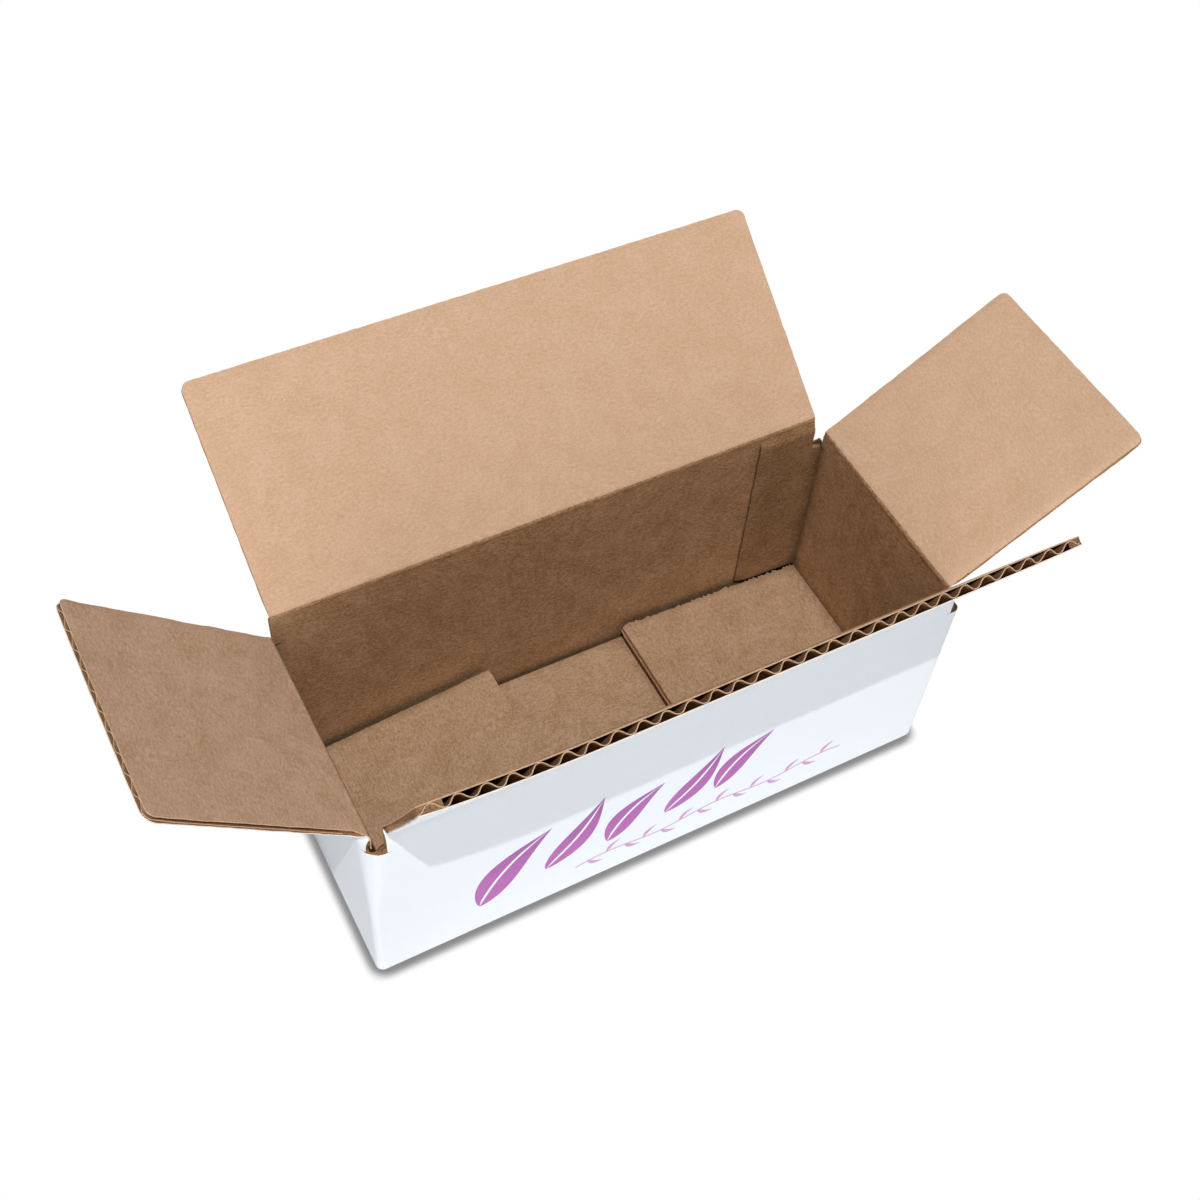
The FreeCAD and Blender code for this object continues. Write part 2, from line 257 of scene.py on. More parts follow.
def curled(u):
    """The front flap curls up at its left end, which is u = 1."""
    return 1.6 * np.clip((u - 0.5) / 0.5, 0, 1) ** 2


def leaning(x):
    """The front flap's flutes lean where its free edge was knocked, towards its right end."""
    return -0.65 * smooth((-x - 10.0) / 50.0) * (0.6 + 0.4 * ragged(x, 77, PITCH))


def dent(distance, depth, width):
    """The depth of a rounded dent at a distance from its middle."""
    return depth * np.exp(-(distance / width) ** 2)


def rounding(distance, radius):
    """How far a round corner lies behind a square one's face, at a distance from the square corner."""
    past = np.clip(radius - distance, 0, radius)
    return radius - np.sqrt(radius ** 2 - past ** 2)


def at_tip(s):
    """Rises from 0 to 1 over the last stretch before the free edge."""
    return np.clip((s - (REACH - TIP)) / TIP, 0, 1)


class Fold:
    """A fold line with the wall below it and the flap beyond it."""

    # The board bends round the fold line. Otherwise the flap is flat from its start.
    hinged = True
    # The height of the wall that the flap's sheets go down, to the floor of the slots.
    wall = 0.0
    # The radii of the free corners.
    corners = (CORNER, CORNER)
    # How far each cut side is cut back at the fold, and the s up to which it tapers off.
    taper = ((0.0, 1.0), (0.0, 1.0))
    # The share of the thickness lost at each cut side, and how far in that goes.
    pinch = (0.3, 0.3)
    pinch_reach = (1.3, 1.3)
    # How far the white face is pushed in beside each slot, and how far from the cut side that goes.
    press = (None, None)
    # The same push along the free edge.
    tip_press = 0.0
    # The distance from the fold's middle to the wall's corner, where the sheets follow its round form.
    rounded = (None, None)
    # How far the free edge is warped towards the kraft side, for a place u across the flap.
    warp = staticmethod(straight)
    # How far the flutes' crowns lean sideways, for an x across the flap.
    lean = staticmethod(straight)

    def __init__(self, origin, outward, turn, width, seed, **details):
        self.origin = np.array(origin, float)
        self.outward = np.array(outward, float)
        self.across = np.cross(self.outward, UP)
        self.turn = math.radians(turn)
        self.width = width
        self.seed = seed
        for detail, value in details.items():
            setattr(self, detail, value)

    def place(self, x, s, w):
        """Board coordinates to the row frame."""
        x, s, w = np.broadcast_arrays(x, s, w)
        if self.hinged:
            drift = CREASE_DRIFT * ragged(x, self.seed + 40, 17.0)
            angle = self.turn * smooth((s - drift + BEND_HALF) / (2 * BEND_HALF))
        else:
            angle = np.full(s.shape, self.turn)
        out = s * np.sin(angle) - w * np.cos(angle)
        up = s * np.cos(angle) + w * np.sin(angle)
        sideways = x[..., None] * self.across
        return self.origin + sideways + out[..., None] * self.outward + up[..., None] * UP

    def pushed_in(self, side, x, s, inward):
        """How far the white face is pushed towards the kraft face at one cut side."""
        push = np.zeros(s.shape)
        if self.press[side]:
            amount, width = self.press[side]
            push = amount * (1 + 0.3 * rough(s, self.seed + 15 + SIGNS[side], 3.0) * (s > 0))
            push = push * np.exp(-(inward / width) ** 2) * (1 - smooth((s - PRESS_FADE) / PRESS_LENGTH))
            push = push * smooth((s + self.wall) / PRESS_RISE)
        if self.rounded[side]:
            from_corner = self.rounded[side] - SIGNS[side] * x
            push = push + rounding(from_corner, SLOT_RADIUS) * (1 - smooth(s / ROUND_LENGTH))
        return push

    def faces(self, x, s):
        """The w of the kraft face and the white face, crushed at the fold and at the cut sides."""
        inner = np.full(s.shape, INNER_FACE)
        outer = np.full(s.shape, OUTER_FACE)
        if self.hinged:
            inner = INNER_FACE - dent(s, *KRAFT_DENT)
            outer = OUTER_FACE + dent(s, *WHITE_DENT)
        outer = outer + self.tip_press * smooth((s - (REACH - 5.0)) / 5.0)
        middle = (inner + outer) / 2
        half = (inner - outer) / 2
        for side, sign in enumerate(SIGNS):
            inward = np.clip(self.width / 2 - sign * x, 0, None)
            strength = self.pinch[side] * (0.75 + 0.25 * ragged(s, self.seed + 11 + sign, 5.0))
            half = half * (1 - strength * np.exp(-inward / self.pinch_reach[side]) * (s > PINCH_START))
            push = np.clip(self.pushed_in(side, x, s, inward), 0, 2 * half - THINNEST)
            middle, half = middle + push / 2, half - push / 2
        return middle + half, middle - half

    def cut_back(self, side, s):
        """How far the cut side lies in from the flap's full width, towards the fold."""
        amount, length = self.taper[side]
        return amount * (1 - np.clip(s / length, 0, 1))

    def half_width(self, side, s):
        """From the flap's middle to its cut side, whose free corner is round."""
        radius = self.corners[side]
        past = np.clip(s - (REACH - radius), 0, radius)
        inset = radius - np.sqrt(np.clip(radius ** 2 - past ** 2, 0, None))
        return self.width / 2 - inset - self.cut_back(side, s)

    def trim(self, u):
        """What is cut off the free edge where it is warped upward, so that the flap keeps its height."""
        return 0.55 * np.clip(self.warp(u), 0, None)

    def sag(self, x, s):
        """How far the flap is warped out of its plane."""
        share = np.clip(s / REACH, 0, 1)
        return share ** 1.5 * self.warp(2 * x / self.width)


def hinge_fold(name, outward, width, seed, **details):
    """The fold of a top flap. Its angle at rest follows from its joint, whose least angle is LOWEST."""
    hinge = next(item for item in frame["joints"] if item["name"] == name)
    above_level = LOWEST - hinge["range_deg"][0]
    origin = np.array(hinge["pos_m"]) * MM
    return Fold(origin, outward, 90.0 - above_level, width, seed, wall=origin[2] - SLOT_FLOOR, **details)


# ---------------------------------------------------------------- boards

# How far from a fold the sheets have close rows.
FINE_STRETCH = 4.0
# The crushed fluting in the fold: its end, and how far it stays inside the cut sides.
CORE_END = 8.0
CORE_INSET = 0.9
# Where the crushed sides of a flap begin.
CRUSH_START = 7.0
# How far crushed fluting is set into the liners.
SUNK = 0.04
# The thickness of the crushed fluting in the bottom flaps.
CRUSHED_MEDIUM = 0.84


def shares_across(width, step):
    """Places across a flap, from -1 at one cut side to 1 at the other."""
    return np.linspace(-1.0, 1.0, int(width / step) + 1)


def places_along(fold, start, step):
    """Places along s: close together round the fold and at the free edge."""
    parts = []
    if fold.hinged:
        count = max(2, int((-FINE_STRETCH - start) / step))
        parts.append(np.linspace(start, -FINE_STRETCH, count, endpoint=False))
        parts.append(np.linspace(-FINE_STRETCH, FINE_STRETCH, 29, endpoint=False))
        start = FINE_STRETCH
    parts.append(np.linspace(start, REACH - TIP, int((REACH - TIP - start) / step), endpoint=False))
    parts.append(REACH - TIP * (1 - np.linspace(0, 1, 9)) ** 1.6)
    return np.concatenate(parts)


def spread(u, left, right):
    """x for a share u of the way from the flap's middle to its left or right cut side."""
    return np.where(u < 0, u * left, u * right)


def folded_slab(name, fold, x, s, high, low, materials, second=None, reverse=False):
    """A closed sheet between two faces given in board coordinates. reverse turns round its rows."""
    bend = fold.sag(x, s)
    grids = [
        fold.place(x, s, high + bend), fold.place(x, s, low + bend),
        np.stack([x, s, high], -1), np.stack([x, s, low], -1),
    ]
    if reverse:
        grids = [grid[::-1] for grid in grids]
    top, bottom, board_top, board_bottom = grids
    return slab(name, top, bottom, materials, board_top, board_bottom, second=second)


def liner(name, fold, layer, materials, start, side_rough, end_rough, seed, step=1.0, grain=2.1):
    """One liner of a flap and of the wall's top. layer is "kraft" or "white"."""
    lengthwise = places_along(fold, start, step)
    u, s = np.meshgrid(shares_across(fold.width, 1.05), lengthwise, indexing="ij")
    left = fold.half_width(0, s) + side_rough[0] * rough(s, seed + 3, grain)
    right = fold.half_width(1, s) + side_rough[1] * rough(s, seed + 7, grain)
    x = spread(u, left, right)
    s = s + (end_rough * rough(x, seed + 5, 2.3) - fold.trim(u)) * at_tip(s)
    inner, outer = fold.faces(x, s)
    if layer == "kraft":
        on_wall = lengthwise < 0 if fold.hinged else None
        return folded_slab(name, fold, x, s, inner, inner - LINER, materials, second=on_wall)
    return folded_slab(name, fold, x, s, outer + LINER, outer, materials)


def flutes(name, fold):
    """The fluted paper between the liners, from its crushed root to the free edge."""
    width = fold.width - 2 * FLUTE_SIDE_GAP
    x = np.linspace(-width / 2, width / 2, int(width / 0.5))
    end = REACH - FLUTE_TIP_GAP
    last = end - 1.88 * np.array([1.0, 0.6, 0.3, 0.1, 0.0])
    s = np.concatenate([np.linspace(FLUTE_ROOT, REACH - 2.0, 9, endpoint=False), last])
    x, s = np.meshgrid(x, s, indexing="ij")
    left, right = (fold.half_width(side, s) - FLUTE_SIDE_GAP for side in (0, 1))
    inside = np.clip(x, -left, right)
    s = s - fold.trim(2 * inside / fold.width) * at_tip(s)
    inner, outer = fold.faces(inside, s)
    middle = (inner + outer) / 2
    gap = (inner - outer) / 2 - LINER - MEDIUM / 2
    # The wave has broader crowns and steeper flanks than a cosine.
    crown = -fold.width / 2 + FLUTE_START
    phase = 2 * math.pi * (x - crown + 0.35 * ragged(x, fold.seed + 9, 9.0)) / PITCH
    swing = np.cos(phase)
    wave = swing * (1.25 - 0.25 * swing ** 2)
    slope = -np.sin(phase) * (1.25 - 0.75 * swing ** 2) * 2 * math.pi / PITCH * gap
    height = 1 - 0.06 * (1 + ragged(x, fold.seed + 10, PITCH))
    w = middle + gap * wave * height
    shift = fold.lean(x) * wave
    steepness = np.sqrt(1 + slope ** 2)
    bend = fold.sag(inside, s)
    places, boards = [], []
    for side in (1, -1):
        dx = -side * slope / steepness * MEDIUM / 2
        dw = side * MEDIUM / 2 / steepness
        layer_x = np.clip(inside + shift + dx, -left, right)
        places.append(fold.place(layer_x, s, w + dw + bend))
        boards.append(np.stack([layer_x, s, w + dw], -1))
    return slab(name, *places, [FLUTE, FLUTE, RAW], *boards)


def between_liners(fold, x, s):
    """The faces of crushed fluting that fills the board, set a little into the liners."""
    inner, outer = fold.faces(x, s)
    return inner - LINER + SUNK, outer + LINER - SUNK


def crushed_core(name, fold):
    """The flattened fluting that fills the fold, lumpy where the slots cut it."""
    u, s = np.meshgrid(shares_across(fold.width, 1.6), np.linspace(-fold.wall, CORE_END, 26), indexing="ij")
    half = fold.width / 2 - CORE_INSET
    left = half - fold.cut_back(0, s) + 0.5 * rough(s, fold.seed + 20, 1.1)
    right = half - fold.cut_back(1, s) + 0.5 * rough(s, fold.seed + 24, 1.1)
    x = spread(u, left, right)
    high, low = between_liners(fold, x, s)
    return folded_slab(name, fold, x, s, high, low, [FLUTE, FLUTE, TORN_FLUTING_AND_SHADE])


def crushed_side(name, fold, side, depth):
    """Flutes knocked flat along one cut side of a flap, up to its free corner."""
    sign = SIGNS[side]
    seed = fold.seed + 60 + side
    inward, s = np.meshgrid(np.linspace(0.0, 1.0, 22), np.linspace(CRUSH_START, REACH, 60), indexing="ij")
    inset = 0.12 * (depth - 2.0)
    edge = fold.half_width(side, s) - inset + inset * rough(s, seed, 1.7)
    x = sign * (edge - inward * (depth + 0.17 * depth * rough(s, seed + 1, 3.0)))
    s = s - (0.25 + 0.3 * rough(x, seed + 2, 0.9) + fold.trim(2 * x / fold.width)) * at_tip(s)
    high, low = between_liners(fold, x, s)
    # The knocked-flat fluting takes the torn fluting's colour, partly darkened as painted shade.
    return folded_slab(name, fold, x, s, high, low, [TORN_FLUTING_AND_SHADE] * 3, reverse=sign > 0)


def crushed_layer(name, fold, start):
    """Flattened fluting inside a bottom flap: a thin sheet half way between the liners."""
    x = np.linspace(-fold.width / 2 + 0.3, fold.width / 2 - 0.3, int(fold.width / 1.5))
    tip = REACH - 4
    s = np.concatenate([np.linspace(start, tip, 8, endpoint=False), np.linspace(tip, REACH - 0.25, 6)])
    x, s = np.meshgrid(x, s, indexing="ij")
    middle = (INNER_FACE + OUTER_FACE) / 2 + 0.12 * ragged(x, fold.seed + 33, 6.0)
    half = CRUSHED_MEDIUM / 2
    return folded_slab(name, fold, x, s, middle + half, middle - half, [FLUTE, FLUTE, RAW])


# ---------------------------------------------------------------- materials

def linear(channel):
    """An sRGB channel from 0 to 255 as the linear value that Blender reads."""
    if channel <= 10:
        return channel / 255 / 12.92
    return ((channel / 255 + 0.055) / 1.055) ** 2.4


def srgb(red, green, blue):
    return tuple(linear(channel) for channel in (red, green, blue))


class Nodes:
    """Adds and links nodes in the node tree of a material or a world."""

    def __init__(self, owner):
        owner.use_nodes = True
        self.tree = owner.node_tree
        self.tree.nodes.clear()

    def add(self, kind):
        return self.tree.nodes.new(kind)

    def link(self, output, socket):
        self.tree.links.new(output, socket)

    def fill(self, socket, value):
        """Link the socket to an output, or give it a number or a colour."""
        if isinstance(value, (int, float)):
            socket.default_value = value
        elif isinstance(value, tuple):
            socket.default_value = (*value, 1.0)
        else:
            self.link(value, socket)

    def surface(self, kind):
        """The shader of a new material's surface."""
        output = self.add("ShaderNodeOutputMaterial")
        shader = self.add(kind)
        self.link(shader.outputs[0], output.inputs["Surface"])
        return shader

    def noise(self, vector, scale, detail, roughness=0.55, stretch=None):
        if stretch is not None:
            mapping = self.add("ShaderNodeMapping")
            mapping.inputs["Scale"].default_value = stretch
            self.link(vector, mapping.inputs["Vector"])
            vector = mapping.outputs["Vector"]
        texture = self.add("ShaderNodeTexNoise")
        texture.inputs["Scale"].default_value = scale
        texture.inputs["Detail"].default_value = detail
        texture.inputs["Roughness"].default_value = roughness
        self.link(vector, texture.inputs["Vector"])
        return texture.outputs["Fac"]

    def math(self, operation, *values, clamp=False):
        node = self.add("ShaderNodeMath")
        node.operation = operation
        node.use_clamp = clamp
        for socket, value in zip(node.inputs, values):
            self.fill(socket, value)
        return node.outputs[0]

    def ramp(self, factor, *stops):
        """A colour ramp between stops, each a place and a colour."""
        node = self.add("ShaderNodeValToRGB")
        while len(node.color_ramp.elements) < len(stops):
            node.color_ramp.elements.new(0.5)
        for element, (place, colour) in zip(node.color_ramp.elements, stops):
            element.position = place
            element.color = (*colour, 1.0)
        self.link(factor, node.inputs["Fac"])
        return node.outputs["Color"]

    def mix(self, factor, a, b, blend="MIX"):
        node = self.add("ShaderNodeMix")
        node.data_type = "RGBA"
        node.blend_type = blend
        sockets = {socket.identifier: socket for socket in node.inputs}
        for identifier, value in (("Factor_Float", factor), ("A_Color", a), ("B_Color", b)):
            self.fill(sockets[identifier], value)
        return next(socket for socket in node.outputs if socket.identifier == "Result_Color")

    def openness(self, distance, samples):
        """How much a point sees of the space around it, up to a distance in mm."""
        node = self.add("ShaderNodeAmbientOcclusion")
        node.inputs["Distance"].default_value = distance / MM
        node.samples = samples
        return node.outputs["AO"]

    def choose_seen(self, unseen, seen):
        """One shader for bounced light, and another for what is seen directly, mirrored or through glass."""
        rays = self.add("ShaderNodeLightPath").outputs
        direct = self.math("MAXIMUM", rays["Is Camera Ray"], rays["Is Glossy Ray"])
        direct = self.math("MAXIMUM", direct, rays["Is Transmission Ray"])
        choice = self.add("ShaderNodeMixShader")
        for socket, value in zip(choice.inputs, (direct, unseen.outputs[0], seen.outputs[0])):
            self.link(value, socket)
        return choice.outputs[0]


# The noise in the paper: its scale, which is per metre, its detail, its roughness and its stretch.
CLOUDS = (110.0, 3.0, 0.55)
CLUMPS = (1400.0, 3.0, 0.65, (0.5, 1.0, 1.0))
FIBRES = (2600.0, 2.0, 0.6, (0.55, 1.0, 1.0))
SPECKS = (1500.0, 1.0, 0.5, (0.6, 1.0, 1.0))
CLUMP_SHARE = 0.34
SPECK_LIMIT = 0.25
SPECK_SHARPNESS = 9.0
GLOSS_CHANGE = 0.08
KRAFT_COLOUR = (203, 168, 138)
# How far the painted shade in tight corners reaches.
PAINTED_SHADE_REACH = 7.0


def paper(
    name, dark, light, fleck, mottling, bump, roughness, flute_bump=0.0, painted_corner_shade=1.0, cloudiness=0.16
):
    """Paper: cloudy mottling, fibres along the machine direction, and small flecks.

    mottling is half the range of noise from dark to light, bump is in mm, and flute_bump is the share of it
    that the flutes press through the liner. A corner shade below 1 is painted shade: tight corners are
    darkened to it.
    """
    material = bpy.data.materials.new(name)
    nodes = Nodes(material)
    shader = nodes.surface("ShaderNodeBsdfPrincipled")
    attribute = nodes.add("ShaderNodeAttribute")
    attribute.attribute_type = "GEOMETRY"
    attribute.attribute_name = "board"
    vector = attribute.outputs["Vector"]

    clumps = nodes.noise(vector, *CLUMPS)
    fibres = nodes.noise(vector, *FIBRES)
    clouds = nodes.math("MULTIPLY", nodes.noise(vector, *CLOUDS), cloudiness)
    total = nodes.math("MULTIPLY_ADD", clumps, CLUMP_SHARE, clouds)
    total = nodes.math("MULTIPLY_ADD", fibres, 1.0 - CLUMP_SHARE - cloudiness, total)
    tone = nodes.ramp(total, (0.5 - mottling, dark), (0.5 + mottling, light))

    specks = nodes.math("SUBTRACT", SPECK_LIMIT, nodes.noise(vector, *SPECKS))
    specks = nodes.math("MULTIPLY", specks, SPECK_SHARPNESS, clamp=True)
    colour = nodes.mix(specks, tone, fleck)
    if painted_corner_shade < 1:
        # Painted shade: the paper is darkened where little space is open around it, at folds, in corners and
        # under edges.
        painted_dark, open_air = (painted_corner_shade,) * 3, (1.0,) * 3
        painted_shade = nodes.ramp(nodes.openness(PAINTED_SHADE_REACH, 8), (0.35, painted_dark), (0.8, open_air))
        colour = nodes.mix(1.0, colour, painted_shade, "MULTIPLY")
    nodes.link(colour, shader.inputs["Base Color"])

    gloss = nodes.math("MULTIPLY_ADD", clumps, GLOSS_CHANGE, roughness - GLOSS_CHANGE / 2)
    nodes.link(gloss, shader.inputs["Roughness"])
    shader.inputs["Specular IOR Level"].default_value = 0.25

    height = nodes.math("MULTIPLY_ADD", fibres, 0.5, clumps)
    if flute_bump:
        split = nodes.add("ShaderNodeSeparateXYZ")
        nodes.link(vector, split.inputs[0])
        wave = nodes.math("MULTIPLY", split.outputs["X"], 2 * math.pi * MM / PITCH)
        wave = nodes.math("COSINE", wave)
        height = nodes.math("MULTIPLY_ADD", wave, flute_bump, height)
    bumped = nodes.add("ShaderNodeBump")
    bumped.inputs["Strength"].default_value = 1.0
    bumped.inputs["Distance"].default_value = bump / MM
    nodes.link(height, bumped.inputs["Height"])
    nodes.link(bumped.outputs["Normal"], shader.inputs["Normal"])
    return material


def kraft(name, level, warmth, contrast, painted_corner_shade=1.0, cloudiness=0.2):
    """Brown liner. level scales its colour, and warmth above 1 takes blue out of it."""
    scale = level * np.array([warmth ** 0.33, 1.0, warmth ** -0.9])
    middle = np.array(srgb(*KRAFT_COLOUR)) * scale
    warm = np.array([1.02, 1.0, 0.95])
    changes = (-0.13 * contrast, 0.13 * contrast, -0.4)
    dark, light, fleck = (tuple(middle * (1 + change) * warm ** (-10 * change)) for change in changes)
    return paper(
        name, dark, light, fleck, 0.10, 0.035, 0.9,
        flute_bump=0.5, painted_corner_shade=painted_corner_shade, cloudiness=cloudiness,
    )


def ink(name, low, high):
    """Printed ink, darkened up the wall by painted shade, with a cloudy tone and small dots where it has not
    taken.
    """
    material = bpy.data.materials.new(name)
    nodes = Nodes(material)
    shader = nodes.surface("ShaderNodeBsdfPrincipled")
    coordinate = nodes.add("ShaderNodeTexCoord").outputs["Object"]
    split = nodes.add("ShaderNodeSeparateXYZ")
    nodes.link(coordinate, split.inputs[0])
    # Painted shade: the ink darkens towards the top of the wall.
    painted_shade_rise = nodes.math("MULTIPLY", split.outputs["Z"], 24.0)
    cloud = nodes.noise(coordinate, 130.0, 4.0)
    total = nodes.math("MULTIPLY_ADD", cloud, 0.5, nodes.math("SUBTRACT", painted_shade_rise, 0.75))
    tone = nodes.ramp(total, (0.1, low), (0.9, high))
    speckle = nodes.noise(coordinate, 1900.0, 2.0)
    dots = nodes.math("MULTIPLY", nodes.math("SUBTRACT", speckle, 0.66), 7.0, clamp=True)
    nodes.link(nodes.mix(dots, tone, srgb(214, 160, 210)), shader.inputs["Base Color"])
    shader.inputs["Roughness"].default_value = 0.55
    shader.inputs["Specular IOR Level"].default_value = 0.3
    return material


# After the name: level, warmth and contrast.
KRAFT = kraft("kraft_liner", 1.16, 1.0, 0.9)
# The left flap's kraft: a little darker than the other flaps' kraft, and more mottled.
KRAFT_LEFT_FLAP = kraft("kraft_liner_left_flap", 1.07, 1.03, 1.7, cloudiness=0.24)
# The walls' inside: the same kraft as the flaps', made darker and warmer as painted shade, with painted shade
# in its corners.
KRAFT_INSIDE_PAINTED_SHADE = kraft("kraft_liner_inside_painted_shade", 0.70, 1.40, 3.0, painted_corner_shade=0.45, cloudiness=0.18)
# The bottom flaps: the same kraft, made darker and warmer as painted shade, with painted shade in their
# corners.
KRAFT_FLOOR_PAINTED_SHADE = kraft("kraft_liner_floor_painted_shade", 0.75, 1.15, 2.2, painted_corner_shade=0.6)
# The glue tab: the same kraft, made darker still as painted shade, with painted shade in its corners.
KRAFT_TAB_PAINTED_SHADE = kraft("kraft_liner_tab_painted_shade", 0.49, 1.52, 3.2, painted_corner_shade=0.45, cloudiness=0.18)
# After the name: dark, light, fleck, mottling, bump and roughness.
RAW = paper("cut_paper", srgb(176, 138, 104), srgb(226, 190, 156), srgb(120, 86, 60), 0.2, 0.1, 0.95)
FLUTE = paper("fluting_paper", srgb(150, 113, 80), srgb(190, 150, 114), srgb(110, 78, 52), 0.15, 0.06, 0.92)
# Torn and crushed fluting: its own brown, made darker than the fluting paper as painted shade in crevices
# between the liners and in the slots.
TORN_FLUTING_AND_SHADE = paper("torn_fluting_and_painted_shade", srgb(84, 57, 36), srgb(172, 134, 100), srgb(70, 46, 30), 0.12, 0.12, 0.95)
WHITE = paper(
    "white_liner", srgb(239, 244, 250), srgb(244, 248, 253), srgb(238, 242, 248), 0.2, 0.012, 0.62,
    flute_bump=0.35,
)
CREAM = paper(
    "cut_white_liner", srgb(236, 224, 208), srgb(250, 242, 230), srgb(220, 200, 176), 0.2, 0.01, 0.85,
)
# Each ink: its colour low on the wall, then its colour high up, which is darker as painted shade.
INK = ink("purple_ink", srgb(186, 104, 180), srgb(142, 80, 148))
INK_LIGHT = ink("pale_purple_ink", srgb(206, 160, 206), srgb(180, 136, 186))


# ---------------------------------------------------------------- top flaps

BACK = hinge_fold(
    "back_fold", (0, 1, 0), LONG_FLAP, 100,
    pinch=(0.35, 0.35), warp=cupped, taper=((0.0, 1.0), (2.6, 1.2 * REACH)),
)
FRONT = hinge_fold(
    "front_fold", (0, -1, 0), LONG_FLAP, 200,
    pinch=(0.42, 0.22), pinch_reach=(4.5, 4.0), press=(None, (0.45, 3.2)), warp=curled, lean=leaning,
    taper=((0.0, 1.0), (2.4, REACH)), corners=(CORNER, 0.9),
)
LEFT = hinge_fold(
    "left_fold", (-1, 0, 0), SHORT_FLAP, 300,
    pinch=(0.22, 0.45), pinch_reach=(2.2, 1.3), tip_press=0.8, warp=cupped,
    taper=((-1.9, 4.0), (0.0, 1.0)), rounded=(HALF_WIDTH, None),
)
RIGHT = hinge_fold("right_fold", (1, 0, 0), SHORT_FLAP, 400, pinch=(0.45, 0.5), warp=cupped)

FLAPS = {"back_flap": BACK, "front_flap": FRONT, "left_flap": LEFT, "right_flap": RIGHT}
# The cut sides of the front flap where flutes are knocked flat, with how far in that goes.
CRUSHED_ENDS = {"left": (1, 4.6), "right": (0, 2.2)}


def top_flap(body, fold):
    """The papers of a flap and of the wall's top below it."""
    upper_paper = KRAFT_LEFT_FLAP if fold is LEFT else KRAFT
    # Below the fold the kraft liner turns to the inside copy, which is darker and warmer as painted shade.
    inner = liner(
        f"{body}_kraft_liner", fold, "kraft", [upper_paper, FLUTE, RAW, KRAFT_INSIDE_PAINTED_SHADE], -fold.wall,
        (0.12, 0.12), 0.10, fold.seed + 1,
    )
    outer = liner(
        f"{body}_white_liner", fold, "white", [FLUTE, WHITE, CREAM], -fold.wall,
        (0.10, 0.10), 0.08, fold.seed + 2,
    )
    core = crushed_core(f"{body}_crushed_fold", fold)
    for piece, slot in ((inner, "kraft_board"), (outer, "carton_board"), (core, "kraft_board")):
        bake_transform(piece)
    ends = CRUSHED_ENDS if fold is FRONT else {}
    for end_name, (side, depth) in ends.items():
        filler = crushed_side(f"{body}_crushed_{end_name}_end", fold, side, depth)
        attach(filler, body)
    fluting = flutes(f"{body}_fluting", fold)
    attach(fluting, body)
    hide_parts(body)


for body, fold in FLAPS.items():
    top_flap(body, fold)


# ---------------------------------------------------------------- walls

# The points round a corner, and the steps along a long wall and an end wall.
ARC_POINTS = 9
SIDE_STEPS = (122, 50)
# How far the cut edge in the slots is uneven.
TEAR = 0.35


def rounded_path(half_x, half_y, radii):
    """Points round a rectangle, anticlockwise from its front left corner, with one radius for each corner.

    Returns the points and the board coordinate x of each.
    """
    corners = np.array([(-1, -1), (1, -1), (1, 1), (-1, 1)]) * np.array([half_x, half_y])
    points = []
    for number, corner in enumerate(corners):
        radius = radii[number]
        centre = corner - np.sign(corner) * radius
        angles = math.pi + (number + np.linspace(0, 1, ARC_POINTS)) * math.pi / 2
        bend = centre + radius * np.stack([np.cos(angles), np.sin(angles)], -1)
        following = corners[(number + 1) % 4]
        heading = (following - corner) / np.linalg.norm(following - corner)
        finish = following - heading * radii[(number + 1) % 4]
        count = SIDE_STEPS[number % 2]
        share = np.arange(1, count)[:, None] / count
        points += [bend, bend[-1] * (1 - share) + finish * share]
    points = np.concatenate(points)
    long_side = np.abs(points[:, 1]) / half_y > np.abs(points[:, 0]) / half_x
    facing = np.where(long_side, np.sign(points[:, 1]), -np.sign(points[:, 0]))
    return points, np.where(long_side, points[:, 0], points[:, 1]) * facing


def inner_outline():
    """The inside of the walls from above. The scores crush the board at the corners into a groove."""
    inner_half = np.array([HALF_LENGTH, HALF_WIDTH]) - BOARD
    inside, _ = rounded_path(*inner_half, INNER_CORNERS)
    away = np.abs(np.abs(inside) - inner_half).sum(1)
    return inside + np.sign(inside) * dent(away, *CORNER_DENT)[:, None]


def wear_slots(outer, inner, heights):
    """Crush and tear the walls' upper edge in the slots. It stays level where a flap's board goes on."""
    ring = outer[:, -1]
    in_front = ring[:, 1] < 0
    on_left = ring[:, 0] < 0
    cut_back = np.where(on_left, FRONT.taper[1][0] * in_front, BACK.taper[1][0] * ~in_front)
    past_long_flap = np.abs(ring[:, 0]) > LONG_FLAP / 2 - cut_back
    past_end_flap = np.abs(ring[:, 1]) > SHORT_FLAP / 2 - LEFT.taper[0][0] * (on_left & in_front)
    in_slot = past_long_flap & past_end_flap
    upper = slice(-len(heights), None)

    def crushed(share, stretch, where):
        """The share of the board lost towards the floor of one slot, over the last stretch below it."""
        return share * smooth((heights - SLOT_FLOOR + stretch) / stretch) * where[:, None]

    # The front left slot's floor is crushed: the kraft liner rolls over it towards the white one.
    rolled = crushed(0.25, 3.0, in_slot & on_left & in_front)
    inner[:, upper, :2] += rolled[..., None] * (outer[:, upper, :2] - inner[:, upper, :2])
    # The back right slot's floor is pressed thin.
    pressed = crushed(0.65, 2.5, in_slot & ~on_left & ~in_front)
    outer[:, upper, :2] += pressed[..., None] * (inner[:, upper, :2] - outer[:, upper, :2])
    # The cut itself is uneven, and its white edge lies lower than the kraft one.
    tear = TEAR * rough(np.arange(len(ring)) * 0.9, 901, 1.4) * in_slot
    outer[:, -1, 2] += tear - TEAR * in_slot
    inner[:, -1, 2] += tear * 0.6 + 0.1 * in_slot


